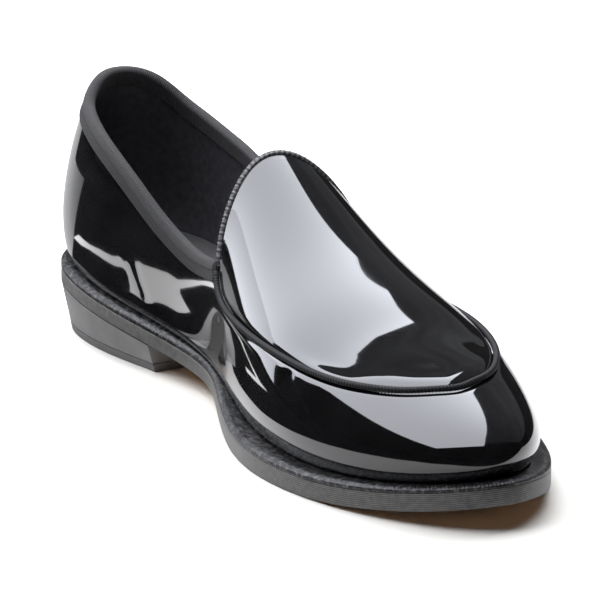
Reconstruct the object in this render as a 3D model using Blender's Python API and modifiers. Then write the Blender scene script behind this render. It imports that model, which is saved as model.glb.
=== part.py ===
# Patent slip-on shoe, left foot: hollow lasted upper, bound collar, corded apron seam,
# welted sole and low heel.
# Built in millimetres on stations counted from the heel to the toe and written out in metres.
# Left side of the frame (-X) is the inner side of the foot, +X the outer side, the toe points to -Y.
import math
import bpy
import numpy as np

MM = 0.001

# Driving sizes in millimetres
CLEARANCE = 0.3          # gap kept between neighbouring pieces
LINING_GAP = 0.5         # gap of the folded tapes to the inner face of the upper
WALL = 2.0               # thickness of the upper
BREAST = 86.0            # station of the front face of the heel
FLAT_START = 178.0       # stations between which the forefoot stands flat on the floor
FLAT_END = 222.0
TOE_SPRING = 8.5         # rise of the sole under the tip
TIP_STATION = 297.0
HEEL_STATION = -2.0
TIP_OFFSET = -4.8        # sideways place of the tip
WELT_HEIGHT = 2.4
WELT_WALL = 0.9          # upright part of the welt edge under its bevel
WELT_BEVEL = 2.4         # run of the welt bevel
BEVEL_SHARE = 0.7        # most of the ledge that the bevel may take
INSOLE_RISE = 2.6        # insole top above the welt top
TOP_PIECE = 3.2          # thickness of the lowest heel layer
HEEL_SQUEEZE_S = 0.93    # heel foot print against the sole outline, along and across
HEEL_SQUEEZE_A = 0.88
HEEL_CENTRE = 36.0
BREAST_RAKE = 1.0        # how far the breast leans back at the floor
BREAST_EDGE = 1.0        # outline points this close to the breast belong to it
COLLAR_BACK = 93.4       # height of the collar at the back seam
COLLAR_DRAW = 0.16       # share by which the heel draws in up to the collar
DRAW_START = 42.0        # height from which it draws in
TAPE_STEP = 4.0          # rows of the collar tape below the rim
TAPE_LEG = 6.0
TAPE_THICK = 0.6
FOLD_ROUND = 0.6         # rounding of the fold over a bound edge
TAPE_LEAN = 10.0         # length over which the tape ends lean along the seam
EDGE_LEG = 1.6           # binding of the free tongue edge
EDGE_THICK = 0.5
CORD_RADIUS = 1.1        # piping in the apron seam
CORD_LIFT = 0.65
SEAM_GROOVE = 0.8
APRON_BORDER = 4.0       # row of the apron that runs beside its edge
END_STEP = 2.0           # distance of the trim ends from the corner of collar and apron
LAST_BACK = 1.0          # stations between which the last exists
LAST_FRONT = 293.8
TUCK = 2.0               # how far the last draws in at the feather line, and over what height
TUCK_FADE = 5.0
TUCK_SHARE = 0.6         # most of the half width that the tuck may take
BACK_REACH = 110.0       # station up to which the heel curve acts
SPINE_START = 45.0       # stations between which rays leave the last square to its length
SPINE_END = 250.0
BASE_JOIN = 124.0        # station of the feather line under the corner of collar and apron

# Counts
OUTLINE_SIDE = 44        # outline steps on each side
END_CROWDING = 0.55      # how much closer the outline steps lie at heel and tip
SEAM_COLS = 57           # columns along the apron seam, odd
COLLAR_COLS = 53         # columns round the collar with both corners
EDGE_COLS = 17           # columns along the free tongue edge, odd
SKIRT_ROWS = 6           # rows of the upper below the tape
HEEL_STEPS = 18          # steps of the heel on each side
DENSE = 1600             # samples of a curve that is measured along its length
APRON_STEPS = 12         # quads across the apron
CORD_ROUNDING = 2        # bevel steps of the piping
RAY_REACH = 180.0        # longest ray inside the last
RAY_HALVINGS = 44        # halvings that find where a ray leaves the last
FEATHER_PASSES = 6       # passes that settle the feather line on the sloping seat
SKIN_STEP = 0.4          # distance of the skin points that a normal is taken from
SKIN_AXIS = (0.31, 0.17, 0.94)   # slanted direction that no ray follows
TINY = 1e-6
FAR = 1e6

# Sole outline: station, inner width, outer width
OUTLINE = [
    (5, 19.0, 19.0),
    (21, 31.0, 31.0),
    (47, 35.0, 35.0),
    (80, 31.0, 36.0),
    (118, 25.5, 38.0),
    (140, 31.5, 40.5),
    (160, 40.0, 44.0),
    (190, 49.5, 48.5),
    (218, 51.5, 48.0),
    (248, 46.0, 38.5),
    (272, 35.3, 26.0),
    (286, 25.0, 15.5),
    (293.5, 15.3, 5.8),
]

# Underside of the sole behind the flat: station, height
UNDERSIDE = [
    (-4, 20.6),
    (30, 18.0),
    (55, 15.2),
    (80, 12.0),
    (100, 9.0),
    (121, 6.0),
    (140, 3.7),
    (160, 1.6),
    (178, 0.0),
    (196, 0.0),
]

# Sole edge: station, thickness
EDGE = [(0, 5.3), (100, 5.3), (140, 5.6), (175, 6.3), (210, 6.5), (250, 6.5), (300, 6.5)]

# Last sections: station, half width, middle offset, widest point above the seat,
# ridge height, ridge skew, fullness
LAST = [
    (8, 20.5, 0.0, 13, 117.0, 0, 0.10),
    (20, 29.0, 0.0, 13, 116.0, 0, 0.10),
    (48, 33.5, 0.0, 14, 112.5, 0, 0.10),
    (80, 31.5, 1.8, 14, 105.0, -1, 0.10),
    (118, 31.5, 5.0, 13, 91.4, -3, 0.10),
    (155, 38.5, 3.0, 12, 73.8, -4.5, 0.12),
    (190, 45.0, 0.0, 11, 60.8, -5, 0.14),
    (218, 45.5, -2.0, 10, 53.2, -4, 0.14),
    (248, 38.5, -4.5, 9, 46.0, -2.5, 0.12),
    (275, 26.0, -6.0, 8, 37.5, -1, 0.08),
]

# Heel curve of the last: height, forward shift of the back
BACK_CURVE = [(24, 0.6), (40, -1.6), (60, 0.4), (80, 5.2), (93, 10.5), (130, 25.0)]

# Apron oval: station, inner angle, outer angle in the section, in degrees from the outer side over the top
APRON = [
    (126.8, 112.0, 78.0),
    (129.2, 125.5, 64.5),
    (132.8, 138.5, 47.0),
    (139.0, 147.8, 36.8),
    (149.0, 151.6, 32.5),
    (165.0, 152.0, 29.5),
    (195.0, 152.0, 29.0),
    (225.0, 150.0, 33.0),
    (244.5, 144.2, 41.5),
    (257.4, 133.0, 55.5),
    (263.4, 115.5, 77.0),
]
APRON_REAR = (124.6, 96.0)
APRON_FRONT = (265.4, 95.0)
APRON_CORNER = 2         # row of the table where the collar meets the apron
APRON_ARC = 0.7          # millimetres that stand for one degree when the oval is drawn

# Collar rim: station, inner height, outer height
COLLAR = [
    (12.4, 92.8, 91.2),
    (15.2, 91.0, 88.2),
    (21, 87.2, 81.6),
    (30, 84.2, 76.6),
    (42, 80.8, 72.2),
    (55, 76.5, 68.5),
    (73, 68.3, 61.4),
    (88, 60.0, 54.4),
    (102, 54.0, 50.7),
    (115, 51.2, 50.2),
    (126, 51.8, 51.8),
]


def spline(rows):
    """Natural cubic through (x, y) rows, straight beyond both ends."""
    xs = np.array([row[0] for row in rows], float)
    ys = np.array([row[1] for row in rows], float)
    count = len(xs)
    step = np.diff(xs)
    matrix = np.eye(count)
    right = np.zeros(count)
    for i in range(1, count - 1):
        matrix[i, i - 1:i + 2] = step[i - 1], 2 * (step[i - 1] + step[i]), step[i]
        right[i] = 6 * ((ys[i + 1] - ys[i]) / step[i] - (ys[i] - ys[i - 1]) / step[i - 1])
    bend = np.linalg.solve(matrix, right)
    first = (ys[1] - ys[0]) / step[0] - step[0] * bend[1] / 6
    final = (ys[-1] - ys[-2]) / step[-1] + step[-1] * bend[-2] / 6

    def value(x):
        x = np.asarray(x, float)
        inside = np.clip(x, xs[0], xs[-1])
        i = np.clip(np.searchsorted(xs, inside) - 1, 0, count - 2)
        size = step[i]
        before = inside - xs[i]
        after = xs[i + 1] - inside
        cubic = (bend[i] * after ** 3 + bend[i + 1] * before ** 3) / (6 * size)
        line = (ys[i] / size - bend[i] * size / 6) * after
        line = line + (ys[i + 1] / size - bend[i + 1] * size / 6) * before
        return cubic + line + np.minimum(x - xs[0], 0) * first + np.maximum(x - xs[-1], 0) * final

    return value


def curve(points, closed):
    """Smooth curve through points; gives the curve over 0 to 1 and the place of each point on it."""
    points = np.asarray(points, float)
    if closed:
        points = np.vstack([points[-3:], points, points[:4]])
    gaps = np.sqrt(np.linalg.norm(np.diff(points, axis=0), axis=1))
    place = np.concatenate([[0.0], np.cumsum(gaps)])
    axes = [spline(list(zip(place, points[:, k]))) for k in range(points.shape[1])]
    start, end = (place[3], place[-4]) if closed else (0.0, place[-1])
    knots = (place[3:-3] if closed else place) - start

    def value(u):
        u = np.asarray(u, float)
        t = start + (u % 1.0 if closed else u) * (end - start)
        return np.stack([axis(t) for axis in axes], axis=-1)

    return value, knots / (end - start)


def column(table, k):
    """Spline of one column of a table over its stations."""
    return spline([(row[0], row[k]) for row in table])


underside_spline = spline(UNDERSIDE)
edge_spline = spline(EDGE)


def underside(s):
    """Height of the sole's underside: arch, flat forefoot and toe spring."""
    s = np.asarray(s, float)
    arch = np.maximum(underside_spline(np.minimum(s, FLAT_START)), 0.0)
    arch = np.where(s < FLAT_START, arch, 0.0)
    spring = TOE_SPRING * (np.maximum(s - FLAT_END, 0.0) / (TIP_STATION - FLAT_END)) ** 2
    return arch + spring


def edge_top(s):
    return underside(s) + edge_spline(s)


def seat(s):
    return edge_top(s) + WELT_HEIGHT


outline_points = [(HEEL_STATION, 0.0)]
outline_points += [(s, -inner) for s, inner, outer in OUTLINE]
outline_points += [(TIP_STATION, TIP_OFFSET)]
outline_points += [(s, outer) for s, inner, outer in reversed(OUTLINE)]
outline_curve, outline_knots = curve(outline_points, True)
tip_place = outline_knots[len(OUTLINE) + 1]

# Places round the outline: heel, inner side, tip, outer side, the two sides in equal counts
even_steps = np.arange(OUTLINE_SIDE) / OUTLINE_SIDE
side_steps = even_steps - END_CROWDING * np.sin(2 * math.pi * even_steps) / (2 * math.pi)
round_places = np.concatenate([tip_place * side_steps, tip_place + (1 - tip_place) * side_steps])
outline = outline_curve(round_places)


def inset(loop, distance):
    """Closed plan loop moved inwards along its normals."""
    tangent = np.roll(loop, -1, axis=0) - np.roll(loop, 1, axis=0)
    tangent /= np.linalg.norm(tangent, axis=1)[:, None]
    inward = np.stack([-tangent[:, 1], tangent[:, 0]], axis=1)
    centre = loop.mean(axis=0)
    if np.sum(inward * (centre - loop)) < 0:
        inward = -inward
    return loop + inward * distance


class Last:
    """Closed form of the foot shape: negative inside, zero on the skin, positive outside."""

    def __init__(self):
        rows = np.array(LAST, float)
        s = rows[:, 0]
        ends = (s - LAST_BACK) * (LAST_FRONT - s)
        self.spread = spline(list(zip(s, rows[:, 1] ** 2 / ends)))
        self.middle = column(LAST, 2)
        self.rise = column(LAST, 3)
        height = rows[:, 4] - seat(s) - rows[:, 3]
        self.vault = spline(list(zip(s, height ** 2 / (LAST_FRONT - s))))
        self.skew = column(LAST, 5)
        self.full = column(LAST, 6)
        self.back = spline(BACK_CURVE)

    def level(self, s):
        return seat(s) + self.rise(s)

    def value(self, p):
        s, a, z = p[..., 0], p[..., 1], p[..., 2]
        heel = np.clip(1 - s / BACK_REACH, 0, 1)
        moved = s - self.back(z) * heel ** 2
        c = np.clip(moved, LAST_BACK + TINY, LAST_FRONT - TINY)
        width = np.sqrt(self.spread(c) * (c - LAST_BACK) * (LAST_FRONT - c))
        drawn = np.maximum(z - DRAW_START, 0) / (COLLAR_BACK - DRAW_START)
        width = width * (1 - COLLAR_DRAW * heel * drawn ** 2)
        height = np.sqrt(self.vault(c) * (LAST_FRONT - c))
        up = (z - self.level(c)) / height
        width = width - np.minimum(TUCK * np.exp(-(z - seat(c)) / TUCK_FADE), TUCK_SHARE * width)
        across = (a - self.middle(c) - self.skew(c) * np.maximum(up, 0) ** 2) / width
        full = self.full(c)
        inside = (1 - full) * across ** 2 + full * across ** 4 + up ** 2 - 1
        return np.where(moved == np.clip(moved, LAST_BACK, LAST_FRONT), inside, 1 + np.abs(moved - c))

    def cast(self, origin, direction):
        """Points where rays from inside leave the last."""
        near = np.zeros(len(direction))
        far = np.full(len(direction), RAY_REACH)
        for _ in range(RAY_HALVINGS):
            half = (near + far) / 2
            within = self.value(origin + direction * half[:, None]) < 0
            near = np.where(within, half, near)
            far = np.where(within, far, half)
        return origin + direction * far[:, None]

    def spine(self, p):
        """Inner point that each ray through p starts from."""
        s = np.clip(p[:, 0], SPINE_START, SPINE_END)
        return np.stack([s, self.middle(s), self.level(s)], axis=1)

    def onto(self, p):
        """Points p carried along their rays onto the skin."""
        origin = self.spine(p)
        ray = p - origin
        return self.cast(origin, ray / np.linalg.norm(ray, axis=1)[:, None])

    def normal(self, p):
        """Outward normals from four skin points close to each point."""
        ray = p - self.spine(p)
        ray /= np.linalg.norm(ray, axis=1)[:, None]
        first = np.cross(ray, np.array(SKIN_AXIS))
        first *= SKIN_STEP / np.linalg.norm(first, axis=1)[:, None]
        second = np.cross(ray, first)
        along = self.onto(p + first) - self.onto(p - first)
        aside = self.onto(p + second) - self.onto(p - second)
        out = np.cross(along, aside)
        out *= np.sign(np.sum(out * ray, axis=1))[:, None]
        return out / np.linalg.norm(out, axis=1)[:, None]

    def section(self, s, angle):
        """Skin points at stations s and section angles in degrees."""
        angle = np.radians(angle)
        origin = np.stack([s, self.middle(s), self.level(s)], axis=1)
        return self.cast(origin, np.stack([0 * s, np.cos(angle), np.sin(angle)], axis=1))


last = Last()


def feather(loop, lift):
    """Foot of the upper below each outline point: the skin at the height of the welt top."""
    p = np.column_stack([loop, seat(loop[:, 0])])
    for _ in range(FEATHER_PASSES):
        origin = last.spine(p)
        origin[:, 2] = p[:, 2]
        ray = np.column_stack([loop, p[:, 2]]) - origin
        ray[:, 2] = 0.0
        p = last.cast(origin, ray / np.linalg.norm(ray, axis=1)[:, None])
        p[:, 2] = seat(p[:, 0]) + lift
    return p


def lengths(points):
    """Arc length up to each point of a line."""
    return np.concatenate([[0.0], np.cumsum(np.linalg.norm(np.diff(points, axis=0), axis=1))])


def spaced(line, places, values):
    """Values carried by a dense line, read at given arc lengths of it."""
    along = lengths(line)
    return np.stack([np.interp(places, along, values[:, k]) for k in range(values.shape[1])], axis=1)


def trim_places(points, count):
    """Even arc lengths with a short first and last step."""
    total = lengths(points)[-1]
    return np.concatenate([[0.0], np.linspace(END_STEP, total - END_STEP, count - 2), [total]])


# Apron oval on the skin
oval_rows = [APRON_REAR]
oval_rows += [(s, inner) for s, inner, outer in APRON]
oval_rows += [APRON_FRONT]
oval_rows += [(s, outer) for s, inner, outer in reversed(APRON)]
oval_curve, oval_knots = curve([(s, angle * APRON_ARC) for s, angle in oval_rows], True)
corner_inner = oval_knots[1 + APRON_CORNER]
corner_outer = oval_knots[len(oval_rows) - 1 - APRON_CORNER]


def oval(places):
    """Stations and section angles on the oval."""
    return oval_curve(places) / np.array([1.0, APRON_ARC])


def on_oval(start, end, count):
    """Even skin columns along a stretch of the oval, as (station, angle) and as points."""
    rows = oval(np.linspace(start, end, DENSE))
    dense = last.section(rows[:, 0], rows[:, 1])
    rows = spaced(dense, trim_places(dense, count), rows)
    return rows, last.section(rows[:, 0], rows[:, 1])


seam_rows, seam = on_oval(corner_inner, corner_outer, SEAM_COLS)
free_rows, free = on_oval(corner_outer, 1.0 + corner_inner, EDGE_COLS)

# Collar rim from the outer corner round the back to the inner corner
rim_points = [seam[-1]]
for s, inner, outer in reversed(COLLAR):
    start = np.array([[s, float(last.middle(s)), outer]])
    rim_points.append(last.cast(start, np.array([[0.0, 1.0, 0.0]]))[0])
rim_points.append(last.cast(np.array([[SPINE_START, 0.0, COLLAR_BACK]]), np.array([[-1.0, 0.0, 0.0]]))[0])
for s, inner, outer in COLLAR:
    start = np.array([[s, float(last.middle(s)), inner]])
    rim_points.append(last.cast(start, np.array([[0.0, -1.0, 0.0]]))[0])
rim_points.append(seam[0])
rim_dense = last.onto(curve(rim_points, False)[0](np.linspace(0, 1, DENSE)))
rim = last.onto(spaced(rim_dense, trim_places(rim_dense, COLLAR_COLS), rim_dense))

# Feather line split below the corners, in step with seam and rim
feather_dense = feather(outline_curve(np.linspace(0, 1, DENSE, endpoint=False)), CLEARANCE)
inner_half = np.arange(DENSE) / DENSE < tip_place
join_inner = np.argmin(np.abs(feather_dense[:, 0] - BASE_JOIN) + FAR * ~inner_half)
join_outer = np.argmin(np.abs(feather_dense[:, 0] - BASE_JOIN) + FAR * inner_half)
front_base = feather_dense[join_inner:join_outer + 1]
back_base = np.vstack([feather_dense[join_outer:], feather_dense[:join_inner + 1]])


def step_like(base, top):
    """Base points at the same share of arc length as the top points."""
    share = lengths(top) / lengths(top)[-1]
    return spaced(base, share * lengths(base)[-1], base)


ring_top = np.vstack([seam, rim[1:-1]])
ring_base = np.vstack([step_like(front_base, seam), step_like(back_base, rim)[1:-1]])
ring_height = np.linalg.norm(ring_top - ring_base, axis=1)
shares = [0.0 * ring_height, TAPE_STEP / ring_height, TAPE_LEG / ring_height]
for k in range(1, SKIRT_ROWS + 1):
    shares.append(shares[2] + (1 - shares[2]) * k / SKIRT_ROWS)
ring = []
for share in shares[:-1]:
    ring.append(last.onto(ring_top + (ring_base - ring_top) * share[:, None]))
ring.append(ring_base)
ring[0][:SEAM_COLS] -= last.normal(seam) * SEAM_GROOVE

# Frame: middle of the outline box, floor at zero
centre_s = (outline[:, 0].min() + outline[:, 0].max()) / 2
centre_a = (outline[:, 1].min() + outline[:, 1].max()) / 2


def place(p):
    """Stations, sideways places and heights in millimetres to frame points in metres."""
    p = np.asarray(p, float)
    return np.stack([p[:, 1] - centre_a, centre_s - p[:, 0], p[:, 2]], axis=1) * MM


for old in list(bpy.data.objects):
    bpy.data.objects.remove(old, do_unlink=True)

parts = bpy.data.collections.new("patent_slip_on_shoe")
bpy.context.scene.collection.children.link(parts)


def material(name, colour, roughness, coat):
    """Principled material of one piece."""
    made = bpy.data.materials.new(name)
    made.use_nodes = True
    shader = made.node_tree.nodes["Principled BSDF"]
    shader.inputs["Base Color"].default_value = (*colour, 1.0)
    shader.inputs["Metallic"].default_value = 0.0
    shader.inputs["Roughness"].default_value = roughness
    shader.inputs["Coat Weight"].default_value = coat
    made.diffuse_color = (*colour, 1.0)
    return made


def add(name, points, faces, colour, roughness, coat=0.0):
    """Object from millimetre points, shaded smooth, with a material of its own."""
    mesh = bpy.data.meshes.new(name)
    mesh.from_pydata([tuple(p) for p in place(points)], [], faces)
    mesh.validate()
    made = bpy.data.objects.new(name, mesh)
    parts.objects.link(made)
    mesh.materials.append(material(name, colour, roughness, coat))
    mesh.polygons.foreach_set("use_smooth", [True] * len(mesh.polygons))
    mesh.update()
    return made


def slab(low, high, low_z, high_z):
    """Plate between two plan loops that are cut into rungs from heel to tip."""
    count = len(low)
    half = count // 2
    points = np.vstack([np.column_stack([low, low_z]), np.column_stack([high, high_z])])
    faces = []
    for i in range(count):
        j = (i + 1) % count
        faces.append((i, j, count + j, count + i))
    for k in range(half):
        a, b = k, k + 1
        c, d = (count - k - 1) % count, (count - k) % count
        low_face = [a, d, c, b] if d != a else [a, c, b]
        if c == b:
            low_face = [a, d, b]
        faces.append(tuple(low_face))
        faces.append(tuple(count + i for i in reversed(low_face)))
    return points, faces


def tube(sections, closed):
    """Skin over equal loops of points, closed into a ring or capped at both ends."""
    count = len(sections)
    size = len(sections[0])
    faces = []
    for i in range(count if closed else count - 1):
        j = (i + 1) % count
        for k in range(size):
            m = (k + 1) % size
            faces.append((i * size + k, j * size + k, j * size + m, i * size + m))
    if not closed:
        faces.append(tuple(range(size)))
        faces.append(tuple(range(count * size - 1, (count - 1) * size - 1, -1)))
    return np.vstack(sections), faces


def outwards(made):
    """Faces turned so that the closed body has a positive volume."""
    mesh = made.data
    mesh.calc_loop_triangles()
    volume = 0.0
    for tri in mesh.loop_triangles:
        a, b, c = (mesh.vertices[i].co for i in tri.vertices)
        volume += a.dot(b.cross(c))
    if volume < 0:
        mesh.flip_normals()
    return made


# Sole pieces
sole = slab(outline, outline, underside(outline[:, 0]), edge_top(outline[:, 0]))
outwards(add("outsole", *sole, (0.35, 0.20, 0.10), 0.5))

foot = feather(outline, 0.0)
welt_floor = edge_top(outline[:, 0]) + CLEARANCE
ledge = np.linalg.norm(outline - foot[:, :2], axis=1)
bevel = np.minimum(WELT_BEVEL / ledge, BEVEL_SHARE)[:, None]
shoulder = outline + (foot[:, :2] - outline) * bevel
inner_loop = inset(foot[:, :2], WALL)
welt_profile = [
    np.column_stack([outline, welt_floor]),
    np.column_stack([outline, welt_floor + WELT_WALL]),
    np.column_stack([shoulder, seat(shoulder[:, 0])]),
    np.column_stack([foot[:, :2], seat(foot[:, 0])]),
    np.column_stack([inner_loop, seat(inner_loop[:, 0])]),
    np.column_stack([inner_loop, edge_top(inner_loop[:, 0]) + CLEARANCE]),
]
welt = tube(list(np.stack(welt_profile, axis=1)), True)
outwards(add("welt", *welt, (0.012, 0.012, 0.013), 0.45))

board = inset(foot[:, :2], WALL + 2 * CLEARANCE)
board_low = edge_top(board[:, 0]) + CLEARANCE
insole = slab(board, board, board_low, seat(board[:, 0]) + INSOLE_RISE)
outwards(add("insole", *insole, (0.015, 0.015, 0.017), 0.6))

# Heel: rungs of the outline up to the breast, drawn in towards the floor
all_round = np.linspace(0, 1, DENSE)
past_breast = all_round[outline_curve(all_round)[:, 0] > BREAST]
breast_inner, breast_outer = past_breast[0], past_breast[-1]
heel_steps = np.linspace(0, 1, HEEL_STEPS + 1)
heel_places = np.concatenate([breast_inner * heel_steps, 1 - (1 - breast_outer) * heel_steps[:0:-1]])
heel_top_loop = outline_curve(heel_places)
heel_middle = np.array([HEEL_CENTRE, 0.0])
heel_print = heel_middle + (heel_top_loop - heel_middle) * np.array([HEEL_SQUEEZE_S, HEEL_SQUEEZE_A])
on_breast = heel_top_loop[:, 0] > BREAST - BREAST_EDGE
heel_print[on_breast, 0] = BREAST - BREAST_RAKE
heel_height = underside(heel_top_loop[:, 0]) - CLEARANCE
lift_share = ((TOP_PIECE + CLEARANCE) / heel_height)[:, None]
heel_low = heel_print + (heel_top_loop - heel_print) * lift_share
lift_top = heel_print + (heel_top_loop - heel_print) * (TOP_PIECE / heel_height)[:, None]


def heel_block(low, high, low_z, high_z):
    """Block over the rungs of the heel with a straight breast."""
    count = len(low)
    half = (count - 1) // 2
    points = np.vstack([np.column_stack([low, low_z]), np.column_stack([high, high_z])])
    faces = [(i, (i + 1) % count, count + (i + 1) % count, count + i) for i in range(count)]
    for k in range(half):
        face = [k, (count - k) % count, count - k - 1, k + 1]
        if k == 0:
            face = [0, count - 1, 1]
        faces.append(tuple(face))
        faces.append(tuple(count + i for i in reversed(face)))
    return points, faces


flat = np.zeros(len(heel_low))
block = heel_block(heel_low, heel_top_loop, flat + TOP_PIECE + CLEARANCE, heel_height)
outwards(add("heel", *block, (0.014, 0.014, 0.015), 0.3))
lift = heel_block(heel_print, lift_top, flat, flat + TOP_PIECE)
outwards(add("heel_top_piece", *lift, (0.02, 0.02, 0.02), 0.7))

# Upper: skirt ring and apron share the seam row, the shell is thickened inwards
ring_cols = len(ring_top)
upper_points = list(np.vstack(ring))
skirt_faces = []
for r in range(len(ring) - 1):
    for c in range(ring_cols):
        d = (c + 1) % ring_cols
        low = (r + 1) * ring_cols
        skirt_faces.append((r * ring_cols + c, r * ring_cols + d, low + d, low + c))

# Loop of the apron: seam from the inner to the outer corner, then the free edge back to the start
loop_points = np.vstack([seam, free[1:-1]])
loop_index = list(range(SEAM_COLS)) + list(range(len(upper_points), len(upper_points) + EDGE_COLS - 2))
upper_points += list(free[1:-1])
loop_size = len(loop_index)
loop_run = np.roll(loop_points, -1, axis=0) - np.roll(loop_points, 1, axis=0)
loop_in = np.cross(loop_run, last.normal(loop_points))
loop_in /= np.linalg.norm(loop_in, axis=1)[:, None]
if np.sum(loop_in * (loop_points.mean(axis=0) - loop_points)) < 0:
    loop_in = -loop_in
border = last.onto(loop_points + loop_in * APRON_BORDER)
border_index = list(range(len(upper_points), len(upper_points) + loop_size))
upper_points += list(border)
border_rise = border[:, 2] - last.level(border[:, 0])
border_angle = np.degrees(np.arctan2(border_rise, border[:, 1] - last.middle(border[:, 0])))
border_rows = np.column_stack([border[:, 0], border_angle])

apron_faces = []
for k in range(loop_size):
    m = (k + 1) % loop_size
    apron_faces.append((loop_index[k], loop_index[m], border_index[m], border_index[k]))

# Rungs across the apron from the front of the border to its rear, inner end first
front_pole = SEAM_COLS // 2
ladder = []
for k in range(1, loop_size // 2):
    inner = (front_pole - k) % loop_size
    outer = (front_pole + k) % loop_size
    across = np.arange(1, APRON_STEPS)[:, None] / APRON_STEPS
    rows = border_rows[inner] + (border_rows[outer] - border_rows[inner]) * across
    line = [border_index[inner]]
    line += list(range(len(upper_points), len(upper_points) + APRON_STEPS - 1))
    upper_points += list(last.section(rows[:, 0], rows[:, 1]))
    ladder.append(line + [border_index[outer]])
for ahead, behind in zip(ladder[:-1], ladder[1:]):
    for k in range(APRON_STEPS):
        apron_faces.append((ahead[k], ahead[k + 1], behind[k + 1], behind[k]))
rear_pole = border_index[(front_pole + loop_size // 2) % loop_size]
for k in range(APRON_STEPS):
    apron_faces.append((border_index[front_pole], ladder[0][k + 1], ladder[0][k]))
    apron_faces.append((rear_pole, ladder[-1][k], ladder[-1][k + 1]))

upper_points = np.array(upper_points)


def faces_out(faces):
    """Faces of one patch turned together so that most of them look away from the last."""
    corners = upper_points[np.array([face[:3] for face in faces])]
    turn = np.cross(corners[:, 1] - corners[:, 0], corners[:, 2] - corners[:, 0])
    if np.sum(turn * last.normal(corners.mean(axis=1))) < 0:
        return [tuple(reversed(face)) for face in faces]
    return faces


upper_faces = faces_out(skirt_faces) + faces_out(apron_faces)
upper = add("upper", upper_points, upper_faces, (0.006, 0.006, 0.007), 0.08, 1.0)
thick = upper.modifiers.new("leather thickness", "SOLIDIFY")
thick.thickness = WALL * MM
thick.offset = -1.0
thick.use_rim = True


def binding(rows, thick_leg):
    """Folded tape over a free edge: rows of skin points from the edge inwards, both sides covered."""
    normals = [last.normal(row) for row in rows]
    up = rows[0] - rows[1]
    up /= np.linalg.norm(up, axis=1)[:, None]
    out_gap = CLEARANCE
    out_face = CLEARANCE + thick_leg
    in_gap = -WALL - LINING_GAP
    in_face = -WALL - LINING_GAP - thick_leg
    low = list(range(len(rows) - 1, 0, -1))
    profile = [rows[k] + normals[k] * out_face for k in low]
    profile.append(rows[0] + normals[0] * out_face + up * CLEARANCE)
    profile.append(rows[0] + normals[0] * (out_face - FOLD_ROUND) + up * (CLEARANCE + thick_leg))
    profile.append(rows[0] + normals[0] * (in_face + FOLD_ROUND) + up * (LINING_GAP + thick_leg))
    profile.append(rows[0] + normals[0] * in_face + up * LINING_GAP)
    profile += [rows[k] + normals[k] * in_face for k in reversed(low)]
    profile += [rows[k] + normals[k] * in_gap for k in low]
    profile.append(rows[0] + normals[0] * in_gap + up * LINING_GAP)
    profile.append(rows[0] + normals[0] * out_gap + up * CLEARANCE)
    profile += [rows[k] + normals[k] * out_gap for k in reversed(low)]
    return tube(list(np.stack(profile, axis=1)), False)


# The tape hangs square to the rim and leans along the apron seam at its two ends
rim_in = rim[1:-1]
hang = ring[1][SEAM_COLS:] - rim_in
hang /= np.linalg.norm(hang, axis=1)[:, None]
corner_dist = np.minimum(lengths(rim)[1:-1], lengths(rim[::-1])[::-1][1:-1])
lean = np.exp(-corner_dist / TAPE_LEAN)[:, None]
seam_drop = [seam[k] - seam[m] for k, m in ((-2, -1), (1, 0))]
seam_drop = [drop / np.linalg.norm(drop) for drop in seam_drop]
half_way = len(rim_in) // 2
seam_side = np.array([seam_drop[0]] * half_way + [seam_drop[1]] * (len(rim_in) - half_way))
hang = hang + (seam_side - hang) * lean
hang /= np.linalg.norm(hang, axis=1)[:, None]
tape_rows = [rim_in] + [last.onto(rim_in + hang * drop) for drop in (TAPE_STEP, TAPE_LEG)]
tape = binding(tape_rows, TAPE_THICK)
outwards(add("collar_binding", *tape, (0.035, 0.035, 0.038), 0.9))

edge_border = border[SEAM_COLS:]
edge_rows = [free[1:-1], free[1:-1] + (edge_border - free[1:-1]) * EDGE_LEG / APRON_BORDER]
edge_band = binding(edge_rows, EDGE_THICK)
outwards(add("tongue_binding", *edge_band, (0.03, 0.03, 0.032), 0.7))

# Piping: a round cord that lies in the groove of the seam
cord_line = seam[1:-1] + last.normal(seam[1:-1]) * CORD_LIFT
cord_data = bpy.data.curves.new("apron_piping", "CURVE")
cord_data.dimensions = "3D"
cord_data.bevel_depth = CORD_RADIUS * MM
cord_data.bevel_resolution = CORD_ROUNDING
cord_data.use_fill_caps = True
cord_run = cord_data.splines.new("POLY")
cord_run.points.add(len(cord_line) - 1)
for point, where in zip(cord_run.points, place(cord_line)):
    point.co = (*where, 1.0)
cord_run.use_smooth = True
cord_data.materials.append(material("apron_piping", (0.01, 0.01, 0.011), 0.35, 0.0))
parts.objects.link(bpy.data.objects.new("apron_piping", cord_data))
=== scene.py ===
import math
import bmesh
import bpy
import numpy as np
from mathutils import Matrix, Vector, kdtree

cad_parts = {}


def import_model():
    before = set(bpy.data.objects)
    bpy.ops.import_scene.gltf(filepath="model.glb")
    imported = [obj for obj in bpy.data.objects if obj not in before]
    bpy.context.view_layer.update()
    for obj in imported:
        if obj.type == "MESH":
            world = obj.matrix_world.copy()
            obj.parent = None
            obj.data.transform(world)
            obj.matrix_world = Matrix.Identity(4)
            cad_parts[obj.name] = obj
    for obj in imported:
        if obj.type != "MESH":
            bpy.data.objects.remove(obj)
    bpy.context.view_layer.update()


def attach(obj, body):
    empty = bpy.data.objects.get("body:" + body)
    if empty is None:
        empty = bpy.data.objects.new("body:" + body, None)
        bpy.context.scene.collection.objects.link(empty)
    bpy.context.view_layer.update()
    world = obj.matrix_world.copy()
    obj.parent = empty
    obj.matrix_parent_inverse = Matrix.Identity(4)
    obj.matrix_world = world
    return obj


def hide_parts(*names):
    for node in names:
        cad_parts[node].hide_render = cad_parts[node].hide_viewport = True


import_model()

MM = 0.001

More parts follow.
